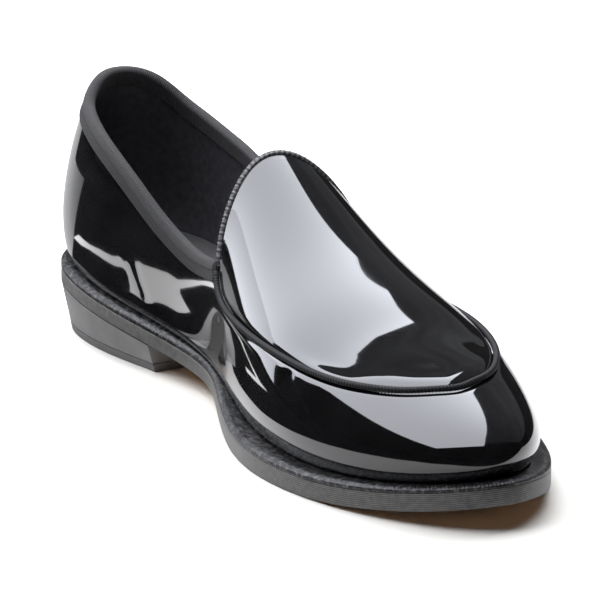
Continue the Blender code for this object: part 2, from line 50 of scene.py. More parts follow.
# Sizes of the part in millimetres
CLEARANCE = 0.3
LINING_GAP = 0.5
WALL = 2.0
BREAST = 86.0
FLAT_START = 178.0
FLAT_END = 222.0
TOE_SPRING = 8.5
TIP_STATION = 297.0
HEEL_STATION = -2.0
TIP_OFFSET = -4.8
WELT_HEIGHT = 2.4
WELT_WALL = 0.9
WELT_BEVEL = 2.4
BEVEL_SHARE = 0.7
INSOLE_RISE = 2.6
TOP_PIECE = 3.2
HEEL_SQUEEZE_S = 0.93
HEEL_SQUEEZE_A = 0.88
HEEL_CENTRE = 36.0
BREAST_RAKE = 1.0
BREAST_EDGE = 1.0
COLLAR_BACK = 93.4
COLLAR_DRAW = 0.16
DRAW_START = 42.0
TAPE_LEG = 6.0
TAPE_THICK = 0.6
TAPE_LEAN = 10.0
EDGE_LEG = 1.6
EDGE_THICK = 0.5
CORD_RADIUS = 1.1
CORD_LIFT = 0.65
SEAM_GROOVE = 0.8
END_STEP = 2.0
LAST_BACK = 1.0
LAST_FRONT = 293.8
TUCK = 2.0
TUCK_FADE = 5.0
TUCK_SHARE = 0.6
BACK_REACH = 110.0
SPINE_START = 45.0
SPINE_END = 250.0
BASE_JOIN = 124.0
BED_STATIONS = (0, 35, 70, 105, 140, 170, 200, 230, 265, 297)   # smooth line that the skin stands on

# Counts of the fine meshes
OUTLINE_SIDE = 190       # outline steps on each side
END_CROWDING = 0.55
WELT_COLS = 2800         # columns of the welt, fine enough for its wheel marks
SEAM_COLS = 241
COLLAR_COLS = 241
EDGE_COLS = 81
SKIRT_ROWS = 34          # rows of the upper below those beside the seam
APRON_STEPS = 72
HEEL_STEPS = 60
HEEL_ROWS = 9
LIFT_ROWS = 4
CORD_COLS = 2400
CORD_SIDES = 14
TAPE_COLS = 420
WHIP_COLS = 640
DENSE = 2400
WRAP = 3                 # points that a closed curve repeats at each end
RAY_REACH = 180.0
RAY_HALVINGS = 36
FEATHER_PASSES = 6
SKIN_STEP = 0.4
SKIN_AXIS = (0.31, 0.17, 0.94)
TINY = 1e-6
FAR = 1e6

# Sole outline: station, inner width, outer width
OUTLINE = [
    (5, 19.0, 19.0),
    (21, 31.0, 31.0),
    (47, 35.0, 35.0),
    (80, 31.0, 36.0),
    (118, 25.5, 38.0),
    (140, 31.5, 40.5),
    (160, 40.0, 44.0),
    (190, 49.5, 48.5),
    (218, 51.5, 48.0),
    (248, 46.0, 38.5),
    (272, 35.3, 26.0),
    (286, 25.0, 15.5),
    (293.5, 15.3, 5.8),
]

# Underside of the sole behind the flat: station, height
UNDERSIDE = [
    (-4, 20.6),
    (30, 18.0),
    (55, 15.2),
    (80, 12.0),
    (100, 9.0),
    (121, 6.0),
    (140, 3.7),
    (160, 1.6),
    (178, 0.0),
    (196, 0.0),
]

# Sole edge: station, thickness
EDGE = [(0, 5.3), (100, 5.3), (140, 5.6), (175, 6.3), (210, 6.5), (250, 6.5), (300, 6.5)]

# Last sections: station, half width, middle offset, widest point above the seat,
# ridge height, ridge skew, fullness
LAST = [
    (8, 20.5, 0.0, 13, 117.0, 0, 0.10),
    (20, 29.0, 0.0, 13, 116.0, 0, 0.10),
    (48, 33.5, 0.0, 14, 112.5, 0, 0.10),
    (80, 31.5, 1.8, 14, 105.0, -1, 0.10),
    (118, 31.5, 5.0, 13, 91.4, -3, 0.10),
    (155, 38.5, 3.0, 12, 73.8, -4.5, 0.12),
    (190, 45.0, 0.0, 11, 60.8, -5, 0.14),
    (218, 45.5, -2.0, 10, 53.2, -4, 0.14),
    (248, 38.5, -4.5, 9, 46.0, -2.5, 0.12),
    (275, 26.0, -6.0, 8, 37.5, -1, 0.08),
]

# Heel curve of the last: height, forward shift of the back
BACK_CURVE = [(24, 0.6), (40, -1.6), (60, 0.4), (80, 5.2), (93, 10.5), (130, 25.0)]

# Apron oval: station, inner angle, outer angle in the section, in degrees from the outer side over the top
APRON = [
    (126.8, 112.0, 78.0),
    (129.2, 125.5, 64.5),
    (132.8, 138.5, 47.0),
    (139.0, 147.8, 36.8),
    (149.0, 151.6, 32.5),
    (165.0, 152.0, 29.5),
    (195.0, 152.0, 29.0),
    (225.0, 150.0, 33.0),
    (244.5, 144.2, 41.5),
    (257.4, 133.0, 55.5),
    (263.4, 115.5, 77.0),
]
APRON_REAR = (124.6, 96.0)
APRON_FRONT = (265.4, 95.0)
APRON_CORNER = 2
APRON_ARC = 0.7

# Collar rim: station, inner height, outer height
COLLAR = [
    (12.4, 92.8, 91.2),
    (15.2, 91.0, 88.2),
    (21, 87.2, 81.6),
    (30, 84.2, 76.6),
    (42, 80.8, 72.2),
    (55, 76.5, 68.5),
    (73, 68.3, 61.4),
    (88, 60.0, 54.4),
    (102, 54.0, 50.7),
    (115, 51.2, 50.2),
    (126, 51.8, 51.8),
]

# Fine forms that only the dressed model has, in millimetres
GROOVE_REACH = 1.5       # half width of the dip beside the piping
SEAM_DISTANCES = (0.0, 0.4, 0.8, 1.2, 1.7, 2.3, 3.0, 4.0)
BEAD_DROP = 2.3          # rolled top edge of the collar tape ends this far below the rim
BEAD_SWELL = 0.25        # how far the roll stands over the flat tape
STEP_DEPTH = 0.18        # line between roll and flat tape
TAPE_DROPS = (0.0, 0.5, 1.0, 1.5, 1.9, 2.2, 2.4, 2.6, 2.9, 3.6, 4.3, 5.0, 5.5, 5.8, 6.0)
FOLD_STEPS = 10
WHIP_PITCH = 1.25        # stitches over the tongue edge
WHIP_SWELL = 0.24
WHIP_SLANT = 0.35        # share of a pitch that a stitch leans over its width
WHIP_ENDS = 0.3          # below 1 the stitches stay full close to their ends
WHEEL_PITCH = 1.35       # wheel marks on the welt
WHEEL_DEPTH = 0.48
WHEEL_SEED = 7           # for the uneven depth of the marks
WHEEL_SPREAD = (0.25, 1.0)   # least and most depth of a mark, as a share
MARK_FADE = 4.0          # how fast a mark runs out towards the upper
MARK_LEAST = 0.25        # share of its depth that is left there
SOLE_ROUND = 0.55        # rounding of the sole's edges
FOLD_ROUND_MAP = 4.0     # width of the map over the fold of the tape
RIB_PITCH = 0.8          # ribs of the tape
ROLL_LIGHT_SPAN = (0.5, 0.75)  # share of the tape's leg over which it grows paler towards the rim: painted highlight on the roll
ROLL_PAINTED_LIGHT = (0.5, 1.0)  # painted shade on the flat tape and painted highlight on its roll, as a share
THREAD_PITCH = 2.1       # twist of the thread
CORD_PITCH = 1.2         # ribs of the piping: pitch, height as a share of the radius, lean
CORD_RIB = 0.08
CORD_SLANT = 0.6
WHIP_ROWS = 18
WELT_STEPS = (0.12, 0.3, 0.5, 0.7, 0.88, 1.0)
WELT_CROWN = 0.85        # below 1 the bevel bulges
ROUND_STEPS = 4
LINE_PITCH = 0.6         # lines along the sole edge
CHANNEL = ((3.4, 0.0), (3.8, 0.25), (4.2, 0.0))   # cut on the underside: distance from the edge, depth
INSOLE_EDGE = ((0.0, 4.5), (0.0, 0.8), (0.25, 0.25), (0.8, 0.0))   # distance from the edge, drop
LAYER_PITCH = 4.6        # layers of the heel
SHARP_ANGLE = 38.0       # degrees
HEEL_ROUND = 0.35
BEVEL_SEGMENTS = 3
CREASE_STEPS = 24

# Scene in metres and degrees
FLOOR_HALF = 4.0
FLOOR_PALE = (0.80, 0.80, 0.79)
FLOOR_CLOUD = 0.97       # darkest clouds of a pale floor paint, as a share
FLOOR_ROUGH = 0.6
FLOOR_SPECULAR = 0.2
ROOM_COLOUR = (0.018, 0.018, 0.0182)
BACKDROP_COLOUR = (1.0, 1.0, 1.0)
# Bright panel overhead that only the gloss shows
PANEL_HEIGHT = 1.0
PANEL_CORNERS = [(0.05, -0.75), (0.27, -0.28), (0.70, 0.41), (0.98, 0.84), (0.42, 0.67), (0.10, 0.70),
                 (-0.12, 0.84), (-1.9, 5.0), (-2.75, 5.0), (-1.05, 0.95), (-1.6, -0.62)]
PANEL_COLOUR = (0.93, 0.95, 1.03)
PANEL_STRENGTH = 4.4
# Light on the floor and the matt pieces, at the height of the panel
KEY_CORNERS = [(-1.1, -0.05), (1.1, -0.05), (1.1, 1.4), (-1.1, 1.4)]
KEY_COLOUR = (1.0, 1.0, 1.0)
KEY_STRENGTH = 7.0
CEILING_HEIGHT = 1.05
CEILING_CORNERS = [(0.0, -0.6), (3.5, -0.6), (3.5, 6.0), (-1.9, 6.0), (-0.2, 0.7)]
CEILING_LIGHT = (0.05, 0.15)
SIDE_PLACE = 2.0         # upright sheet behind: place, then corners as (x, z)
SIDE_CORNERS = [(-1.3, 0.1), (-0.75, 0.1), (-0.55, 0.04), (-0.55, 0.9), (-1.3, 0.9)]
SIDE_STRENGTH = 3.2
# Parts of the floor that the gloss shows: pale along the shoe and behind it, dark elsewhere
GLOSS_NEAR = [(-0.05, -0.16), (-0.090, -0.135), (-0.104, -0.10), (-0.100, -0.07), (-0.089, -0.04),
              (-0.077, -0.018), (-0.062, 0.005), (-0.050, 0.028), (-0.040, 0.045), (-0.034, 0.062),
              (-0.033, 0.08), (-0.028, 0.092), (0.03, 0.092), (0.03, 0.17), (0.9, 0.17), (0.9, -0.3),
              (0.04, -0.17)]
GLOSS_STRIP = [(-0.066, 0.106), (-0.09, 0.116), (-0.12, 0.136), (-0.155, 0.166), (-0.145, 0.174),
               (-0.128, 0.173), (-0.123, 0.19), (-0.115, 0.204), (-0.097, 0.219), (-0.075, 0.245),
               (-0.055, 0.238), (-0.07, 0.22), (-0.088, 0.207), (-0.099, 0.19), (-0.106, 0.17),
               (-0.107, 0.155), (-0.098, 0.145), (-0.085, 0.135), (-0.074, 0.127), (-0.066, 0.121)]
GLOSS_BESIDE = [(-0.038, 0.075), (-0.043, 0.12), (-0.042, 0.165), (-0.02, 0.165), (-0.02, 0.075)]
GLOSS_FAR = [(-0.055, 0.238), (-0.24, 0.62), (-0.09, 0.62), (-0.23, 2.2), (0.9, 2.2), (0.9, 0.17),
             (0.0, 0.17), (-0.04, 0.215)]
GLOSS_TURN = (-24.0, -6.0)   # the far part grows pale between these directions from the heel
GLOSS_CENTRE = (-0.03, 0.10)
GLOSS_LIFT = 0.0002
GLOSS_PALE = (0.56, 0.56, 0.57)
GLOSS_BRIGHT = (0.87, 0.87, 0.88)
GLOSS_DIM = (0.23, 0.23, 0.235)
GLOSS_BLACK = (0.02, 0.02, 0.02)
SHADE_TONES = ((0.006, 0.006, 0.0065), (0.012, 0.012, 0.0125))
VIEW_AZIMUTH = -29.5
VIEW_ELEVATION = 16.7
VIEW_DISTANCE = 2.0
AIM = (0.0, 0.0, 0.040)
LENS = 340.0
SENSOR = 36.0
CLIP_END = 50.0

# Soft troughs (negative) and ridges on the upper: station and angle of both ends, height, reach
CREASES = [
    (73.0, 156.0, 83.0, 188.0, -0.16, 1.8),
    (67.0, 156.0, 77.0, 188.0, 0.14, 4.0),
    (213.0, 157.0, 228.0, 168.0, -0.40, 2.4),
    (219.0, 156.0, 233.0, 164.0, 0.18, 3.0),
]
# Broad hollow of the plug, in the same form; it runs out beside the seam
PLUG_HOLLOW = (226.0, 60.0, 226.0, 146.0, -1.9, 18.0)
PLUG_FADE = 4.0
# Roll of the plug along the front of its seam: height, distance from the seam, reach, first station, run
PLUG_ROLL = (0.9, 4.0, 5.5, 232.0, 18.0)


def spline(rows):
    """Natural cubic through (x, y) rows, straight beyond both ends."""
    xs = np.array([row[0] for row in rows], float)
    ys = np.array([row[1] for row in rows], float)
    count = len(xs)
    step = np.diff(xs)
    matrix = np.eye(count)
    right = np.zeros(count)
    for i in range(1, count - 1):
        matrix[i, i - 1:i + 2] = step[i - 1], 2 * (step[i - 1] + step[i]), step[i]
        right[i] = 6 * ((ys[i + 1] - ys[i]) / step[i] - (ys[i] - ys[i - 1]) / step[i - 1])
    bend = np.linalg.solve(matrix, right)
    first = (ys[1] - ys[0]) / step[0] - step[0] * bend[1] / 6
    final = (ys[-1] - ys[-2]) / step[-1] + step[-1] * bend[-2] / 6

    def value(x):
        x = np.asarray(x, float)
        inside = np.clip(x, xs[0], xs[-1])
        i = np.clip(np.searchsorted(xs, inside) - 1, 0, count - 2)
        size = step[i]
        before = inside - xs[i]
        after = xs[i + 1] - inside
        cubic = (bend[i] * after ** 3 + bend[i + 1] * before ** 3) / (6 * size)
        line = (ys[i] / size - bend[i] * size / 6) * after
        line = line + (ys[i + 1] / size - bend[i + 1] * size / 6) * before
        return cubic + line + np.minimum(x - xs[0], 0) * first + np.maximum(x - xs[-1], 0) * final

    return value


def curve(points, closed):
    """Smooth curve through points; gives the curve over 0 to 1 and the place of each point on it."""
    points = np.asarray(points, float)
    if closed:
        points = np.vstack([points[-WRAP:], points, points[:WRAP + 1]])
    gaps = np.sqrt(np.linalg.norm(np.diff(points, axis=0), axis=1))
    place = np.concatenate([[0.0], np.cumsum(gaps)])
    axes = [spline(list(zip(place, points[:, k]))) for k in range(points.shape[1])]
    start, end = (place[WRAP], place[-WRAP - 1]) if closed else (0.0, place[-1])
    knots = (place[WRAP:-WRAP] if closed else place) - start

    def value(u):
        u = np.asarray(u, float)
        t = start + (u % 1.0 if closed else u) * (end - start)
        return np.stack([axis(t) for axis in axes], axis=-1)

    return value, knots / (end - start)


def column(table, k):
    """Spline of one column of a table over its stations."""
    return spline([(row[0], row[k]) for row in table])


def unit(rows):
    """Rows of vectors at length one."""
    return rows / np.linalg.norm(rows, axis=1)[:, None]


underside_spline = spline(UNDERSIDE)
edge_spline = spline(EDGE)


def underside(s):
    """Height of the sole's underside: arch, flat forefoot and toe spring."""
    s = np.asarray(s, float)
    arch = np.maximum(underside_spline(np.minimum(s, FLAT_START)), 0.0)
    arch = np.where(s < FLAT_START, arch, 0.0)
    spring = TOE_SPRING * (np.maximum(s - FLAT_END, 0.0) / (TIP_STATION - FLAT_END)) ** 2
    return arch + spring


def edge_top(s):
    return underside(s) + edge_spline(s)


def seat(s):
    return edge_top(s) + WELT_HEIGHT


outline_points = [(HEEL_STATION, 0.0)]
outline_points += [(s, -inner) for s, inner, outer in OUTLINE]
outline_points += [(TIP_STATION, TIP_OFFSET)]
outline_points += [(s, outer) for s, inner, outer in reversed(OUTLINE)]
outline_curve, outline_knots = curve(outline_points, True)
tip_place = outline_knots[len(OUTLINE) + 1]
even_steps = np.arange(OUTLINE_SIDE) / OUTLINE_SIDE
side_steps = even_steps - END_CROWDING * np.sin(2 * math.pi * even_steps) / (2 * math.pi)
outline = outline_curve(np.concatenate([tip_place * side_steps, tip_place + (1 - tip_place) * side_steps]))


def inset(loop, distance):
    """Closed plan loop moved inwards along its normals."""
    tangent = unit(np.roll(loop, -1, axis=0) - np.roll(loop, 1, axis=0))
    inward = np.stack([-tangent[:, 1], tangent[:, 0]], axis=1)
    if np.sum(inward * (loop.mean(axis=0) - loop)) < 0:
        inward = -inward
    return loop + inward * distance


class Last:
    """Closed form of the foot shape: negative inside, zero on the skin, positive outside."""

    def __init__(self):
        rows = np.array(LAST, float)
        s = rows[:, 0]
        self.bed = spline([(x, float(seat(x))) for x in BED_STATIONS])
        ends = (s - LAST_BACK) * (LAST_FRONT - s)
        self.spread = spline(list(zip(s, rows[:, 1] ** 2 / ends)))
        self.middle = column(LAST, 2)
        self.rise = column(LAST, 3)
        height = rows[:, 4] - self.bed(s) - rows[:, 3]
        self.vault = spline(list(zip(s, height ** 2 / (LAST_FRONT - s))))
        self.skew = column(LAST, 5)
        self.full = column(LAST, 6)
        self.back = spline(BACK_CURVE)

    def level(self, s):
        return self.bed(s) + self.rise(s)

    def value(self, p):
        s, a, z = p[..., 0], p[..., 1], p[..., 2]
        heel = np.clip(1 - s / BACK_REACH, 0, 1)
        moved = s - self.back(z) * heel ** 2
        c = np.clip(moved, LAST_BACK + TINY, LAST_FRONT - TINY)
        width = np.sqrt(self.spread(c) * (c - LAST_BACK) * (LAST_FRONT - c))
        drawn = np.maximum(z - DRAW_START, 0) / (COLLAR_BACK - DRAW_START)
        width = width * (1 - COLLAR_DRAW * heel * drawn ** 2)
        height = np.sqrt(self.vault(c) * (LAST_FRONT - c))
        up = (z - self.level(c)) / height
        width = width - np.minimum(TUCK * np.exp(-(z - self.bed(c)) / TUCK_FADE), TUCK_SHARE * width)
        across = (a - self.middle(c) - self.skew(c) * np.maximum(up, 0) ** 2) / width
        full = self.full(c)
        inside = (1 - full) * across ** 2 + full * across ** 4 + up ** 2 - 1
        return np.where(moved == np.clip(moved, LAST_BACK, LAST_FRONT), inside, 1 + np.abs(moved - c))

    def cast(self, origin, direction):
        """Points where rays from inside leave the last."""
        near = np.zeros(len(direction))
        far = np.full(len(direction), RAY_REACH)
        for _ in range(RAY_HALVINGS):
            half = (near + far) / 2
            within = self.value(origin + direction * half[:, None]) < 0
            near = np.where(within, half, near)
            far = np.where(within, far, half)
        return origin + direction * far[:, None]

    def spine(self, p):
        """Inner point that each ray through p starts from."""
        s = np.clip(p[:, 0], SPINE_START, SPINE_END)
        return np.stack([s, self.middle(s), self.level(s)], axis=1)

    def onto(self, p):
        """Points p carried along their rays onto the skin."""
        origin = self.spine(p)
        return self.cast(origin, unit(p - origin))

    def normal(self, p):
        """Outward normals from four skin points close to each point."""
        ray = unit(p - self.spine(p))
        first = np.cross(ray, np.array(SKIN_AXIS))
        first *= SKIN_STEP / np.linalg.norm(first, axis=1)[:, None]
        second = np.cross(ray, first)
        along = self.onto(p + first) - self.onto(p - first)
        aside = self.onto(p + second) - self.onto(p - second)
        out = np.cross(along, aside)
        out *= np.sign(np.sum(out * ray, axis=1))[:, None]
        return unit(out)

    def section(self, s, angle):
        """Skin points at stations s and section angles in degrees."""
        angle = np.radians(angle)
        origin = np.stack([s, self.middle(s), self.level(s)], axis=1)
        return self.cast(origin, np.stack([0 * s, np.cos(angle), np.sin(angle)], axis=1))


last = Last()


def feather(loop, lift):
    """Foot of the upper below each outline point: the skin at the height of the welt top."""
    p = np.column_stack([loop, seat(loop[:, 0])])
    for _ in range(FEATHER_PASSES):
        origin = last.spine(p)
        origin[:, 2] = p[:, 2]
        ray = np.column_stack([loop, p[:, 2]]) - origin
        ray[:, 2] = 0.0
        p = last.cast(origin, unit(ray))
        p[:, 2] = seat(p[:, 0]) + lift
    return p


def lengths(points):
    """Arc length up to each point of a line."""
    return np.concatenate([[0.0], np.cumsum(np.linalg.norm(np.diff(points, axis=0), axis=1))])


def spaced(line, places):
    """Points of a dense line at given arc lengths."""
    along = lengths(line)
    return np.stack([np.interp(places, along, axis) for axis in line.T], axis=1)


def evenly(line, count):
    """Points at even steps of a dense line."""
    return spaced(line, np.linspace(0, lengths(line)[-1], count))


# Apron oval on the skin
oval_rows = [APRON_REAR]
oval_rows += [(s, inner) for s, inner, outer in APRON]
oval_rows += [APRON_FRONT]
oval_rows += [(s, outer) for s, inner, outer in reversed(APRON)]
oval_curve, oval_knots = curve([(s, angle * APRON_ARC) for s, angle in oval_rows], True)
corner_inner = oval_knots[1 + APRON_CORNER]
corner_outer = oval_knots[len(oval_rows) - 1 - APRON_CORNER]


def on_oval(start, end):
    """Dense skin line along a stretch of the oval."""
    rows = oval_curve(np.linspace(start, end, DENSE)) / np.array([1.0, APRON_ARC])
    return last.section(rows[:, 0], rows[:, 1])


seam_dense = on_oval(corner_inner, corner_outer)
free_dense = on_oval(corner_outer, 1.0 + corner_inner)
seam = last.onto(evenly(seam_dense, SEAM_COLS))
free = last.onto(evenly(free_dense, EDGE_COLS))


def rim_point(s, height, way):
    """Skin point at a height, met on the way from the middle of a section to one side."""
    start = np.array([[s, float(last.middle(s)), height]])
    return last.cast(start, np.array([[0.0, way, 0.0]]))[0]


# Collar rim from the outer corner round the back to the inner corner
rim_points = [seam[-1]]
rim_points += [rim_point(s, outer, 1.0) for s, inner, outer in reversed(COLLAR)]
rim_points.append(last.cast(np.array([[SPINE_START, 0.0, COLLAR_BACK]]), np.array([[-1.0, 0.0, 0.0]]))[0])
rim_points += [rim_point(s, inner, -1.0) for s, inner, outer in COLLAR]
rim_points.append(seam[0])
rim_dense = last.onto(curve(rim_points, False)[0](np.linspace(0, 1, DENSE)))
rim = last.onto(evenly(rim_dense, COLLAR_COLS))

# Feather line split below the corners, in step with seam and rim
feather_dense = feather(outline_curve(np.linspace(0, 1, DENSE, endpoint=False)), CLEARANCE)
inner_half = np.arange(DENSE) / DENSE < tip_place
join_inner = np.argmin(np.abs(feather_dense[:, 0] - BASE_JOIN) + FAR * ~inner_half)
join_outer = np.argmin(np.abs(feather_dense[:, 0] - BASE_JOIN) + FAR * inner_half)
front_base = feather_dense[join_inner:join_outer + 1]
back_base = np.vstack([feather_dense[join_outer:], feather_dense[:join_inner + 1]])

# Frame: middle of the outline box, floor at zero
centre_s = (outline[:, 0].min() + outline[:, 0].max()) / 2
centre_a = (outline[:, 1].min() + outline[:, 1].max()) / 2


def place(p):
    """Stations, sideways places and heights in millimetres to frame points in metres."""
    p = np.asarray(p, float).reshape(-1, 3)
    return np.stack([p[:, 1] - centre_a, centre_s - p[:, 0], p[:, 2]], axis=1) * MM


# Node helpers
def fill(node, values):
    """Input values of a node; a low line in a key stands for a space."""
    for key, value in values.items():
        node.inputs[key.replace("_", " ")].default_value = value


class Nodes:
    """Short way to write a node material."""

    def __init__(self, name):
        self.made = bpy.data.materials.new(name)
        self.made.use_nodes = True
        self.tree = self.made.node_tree
        self.shader = self.tree.nodes["Principled BSDF"]

    def add(self, kind, **values):
        node = self.tree.nodes.new(kind)
        fill(node, values)
        return node

    def link(self, source, target):
        self.tree.links.new(source, target)

    def coords(self, which):
        return self.add("ShaderNodeTexCoord").outputs[which]

    def axes(self, which):
        """X and Y of a coordinate."""
        split = self.add("ShaderNodeSeparateXYZ")
        self.link(self.coords(which), split.inputs["Vector"])
        return split.outputs["X"], split.outputs["Y"]

    def noise(self, scale, detail, rough=0.5):
        """Noise over the object in steps of 1 / scale metres."""
        node = self.add("ShaderNodeTexNoise", Scale=scale, Detail=detail, Roughness=rough)
        self.link(self.coords("Object"), node.inputs["Vector"])
        return node.outputs["Fac"]

    def colour(self, source, low, high, dark, pale):
        """Base colour that grows from dark to pale over the stretch low to high of a value."""
        node = self.add("ShaderNodeValToRGB")
        first, second = node.color_ramp.elements
        first.position, second.position = low, high
        first.color = (*dark, 1.0)
        second.color = (*pale, 1.0)
        self.link(source, node.inputs["Fac"])
        self.link(node.outputs["Color"], self.shader.inputs["Base Color"])

    def spread(self, source, low, high):
        """A value from 0 to 1 carried to low to high."""
        node = self.add("ShaderNodeMapRange", To_Min=low, To_Max=high)
        self.link(source, node.inputs["Value"])
        return node.outputs["Result"]

    def rough(self, source, low, high):
        """Roughness from low to high over a value from 0 to 1."""
        self.link(self.spread(source, low, high), self.shader.inputs["Roughness"])

    def math(self, kind, first, second=None):
        node = self.add("ShaderNodeMath")
        node.operation = kind
        for socket, value in zip(node.inputs, (first, second)):
            if isinstance(value, (int, float)):
                socket.default_value = value
            elif value is not None:
                self.link(value, socket)
        return node.outputs["Value"]

    def ribs(self, axis, slant=0.0):
        """Wave from 0 to 1 that repeats at each whole step of one map axis."""
        along, other = self.axes("UV")
        if axis == "Y":
            along, other = other, along
        turned = self.math("ADD", along, self.math("MULTIPLY", other, slant))
        wave = self.math("SINE", self.math("MULTIPLY", turned, 2 * math.pi))
        return self.math("MULTIPLY", self.math("ADD", wave, 1.0), 0.5)

    def bump(self, layers):
        """Bumps laid over each other: (height source, depth in metres)."""
        before = None
        for source, depth in layers:
            node = self.add("ShaderNodeBump", Strength=1.0, Distance=depth)
            self.link(source, node.inputs["Height"])
            if before:
                self.link(before, node.inputs["Normal"])
            before = node.outputs["Normal"]
        self.link(before, self.shader.inputs["Normal"])

    def set(self, **values):
        fill(self.shader, values)


def patent():
    """Black patent leather: a clear mirror coat with faint waves and orange peel."""
    n = Nodes("patent leather")
    n.colour(n.noise(90, 3), 0.35, 0.65, (0.0022, 0.0022, 0.0026), (0.0045, 0.0045, 0.0052))
    n.rough(n.noise(160, 4), 0.045, 0.10)
    n.set(Coat_Weight=1.0, Coat_Roughness=0.012, Coat_IOR=1.55)
    n.bump([(n.noise(34, 1), 0.00016), (n.noise(700, 1), 0.0000025)])
    return n.made


def lining():
    """Dark lining leather with fine grain."""
    n = Nodes("lining leather")
    n.colour(n.noise(420, 4), 0.3, 0.7, (0.036, 0.036, 0.043), (0.068, 0.068, 0.080))
    n.rough(n.noise(260, 3), 0.42, 0.6)
    n.bump([(n.noise(900, 3), 0.00008)])
    return n.made


def sock():
    """Insole leather, a little lighter and smoother than the lining."""
    n = Nodes("insole leather")
    n.colour(n.noise(60, 5), 0.3, 0.75, (0.075, 0.075, 0.080), (0.125, 0.125, 0.132))
    n.rough(n.noise(200, 3), 0.34, 0.5)
    n.bump([(n.noise(1100, 3), 0.00006)])
    return n.made


def grosgrain():
    """Matt ribbed tape: cross ribs with woven flecks, painted shade between the ribs and a painted highlight
    on the roll along the rim.
    """
    n = Nodes("ribbed tape")
    ribs = n.ribs("X")
    flecks = n.noise(1500, 2)
    start, end = ROLL_LIGHT_SPAN
    flat, roll = ROLL_PAINTED_LIGHT
    # painted highlight: the tape grows paler towards the rolled rim and stays darker on the flat leg
    painted_roll_light = n.add("ShaderNodeMapRange", From_Min=start, From_Max=end, To_Min=flat, To_Max=roll)
    n.link(n.axes("UV")[1], painted_roll_light.inputs["Value"])
    flecks_and_painted_shading = n.math("MULTIPLY", n.math("MULTIPLY", ribs, flecks), painted_roll_light.outputs["Result"])
    n.colour(flecks_and_painted_shading, 0.05, 0.6, (0.014, 0.014, 0.015), (0.070, 0.070, 0.074))
    n.rough(flecks, 0.62, 0.85)
    n.set(Sheen_Weight=0.05, Sheen_Roughness=0.4, Specular_IOR_Level=0.3)
    n.bump([(ribs, 0.00010), (flecks, 0.00006)])
    return n.made


def thread():
    """Waxed dark thread, twisted, paler on the crests of its strands: painted highlight, with painted shade
    between them.
    """
    n = Nodes("waxed thread")
    strands = n.ribs("X", 0.8)
    n.colour(strands, 0.1, 0.9, (0.030, 0.030, 0.032), (0.120, 0.120, 0.126))
    n.rough(n.noise(900, 2), 0.38, 0.55)
    n.bump([(strands, 0.00010)])
    return n.made


def piping():
    """Leather-covered cord, paler on the crests of its slanted ribs: painted highlight, with painted shade
    between them.
    """
    n = Nodes("piping cord")
    n.colour(n.ribs("X", CORD_SLANT), 0.1, 0.9, (0.004, 0.004, 0.0045), (0.019, 0.019, 0.0205))
    n.rough(n.noise(700, 2), 0.52, 0.68)
    n.set(Specular_IOR_Level=0.35)
    n.bump([(n.noise(1600, 2), 0.00002)])
    return n.made


def welt_leather():
    """Black waxed welt, rough, with pale specks."""
    n = Nodes("welt leather")
    n.colour(n.noise(640, 3), 0.46, 0.72, (0.002, 0.002, 0.0024), (0.080, 0.080, 0.082))
    n.rough(n.noise(420, 3), 0.26, 0.50)
    n.bump([(n.noise(1300, 3), 0.00005), (n.noise(620, 2), 0.00025)])
    return n.made


def sole_edge():
    """Waxed sole edge with fine lines along it."""
    n = Nodes("sole edge")
    lines = n.ribs("Y")
    grain = n.noise(500, 4)
    n.colour(n.math("MULTIPLY", lines, grain), 0.1, 0.6, (0.050, 0.050, 0.051), (0.170, 0.167, 0.164))
    n.rough(grain, 0.30, 0.46)
    n.bump([(lines, 0.00005), (grain, 0.00004)])
    return n.made


def sole_leather():
    """Tan sole leather with soft clouds and pores."""
    n = Nodes("sole leather")
    n.colour(n.noise(26, 6, 0.6), 0.32, 0.7, (0.34, 0.18, 0.085), (0.46, 0.27, 0.13))
    n.rough(n.noise(320, 4), 0.45, 0.62)
    n.bump([(n.noise(900, 4), 0.00006)])
    return n.made


def heel_polish():
    """Waxed black heel whose layers just show; its charcoal grey is painted light, standing in for the pale
    floor that its polish reflects.
    """
    n = Nodes("heel polish")
    layers = n.ribs("Y")
    n.colour(n.noise(140, 4), 0.3, 0.7, (0.135, 0.135, 0.138), (0.170, 0.170, 0.174))
    n.rough(n.noise(300, 3), 0.42, 0.50)
    n.set(Coat_Weight=0.4, Coat_Roughness=0.42)
    n.bump([(layers, 0.00002), (n.noise(700, 2), 0.00002)])
    return n.made


def rubber():
    """Matt rubber of the heel's lowest layer; its charcoal grey is painted light, like that of the heel
    block.
    """
    n = Nodes("heel rubber")
    n.colour(n.noise(600, 4), 0.3, 0.7, (0.105, 0.105, 0.107), (0.140, 0.140, 0.143))
    n.rough(n.noise(500, 3), 0.45, 0.6)
    n.bump([(n.noise(1500, 3), 0.00006)])
    return n.made


# Mesh helpers
def sheet(grid, us, vs, closed):
    """Quads over rows of points with a map; a closed sheet joins the last column to the first."""
    rows, cols = grid.shape[:2]
    row = np.repeat(np.arange(rows - 1), cols if closed else cols - 1)
    col = np.tile(np.arange(cols if closed else cols - 1), rows - 1)
    corners = ((0, 0), (0, 1), (1, 1), (1, 0))
    faces = np.stack([(row + r) * cols + (col + c) % cols for r, c in corners], axis=1)
    maps = np.stack([np.stack([us[col + c], vs[row + r]], 1) for r, c in corners], axis=1)
    return grid.reshape(-1, 3), [tuple(f) for f in faces.tolist()], maps.reshape(-1, 2)


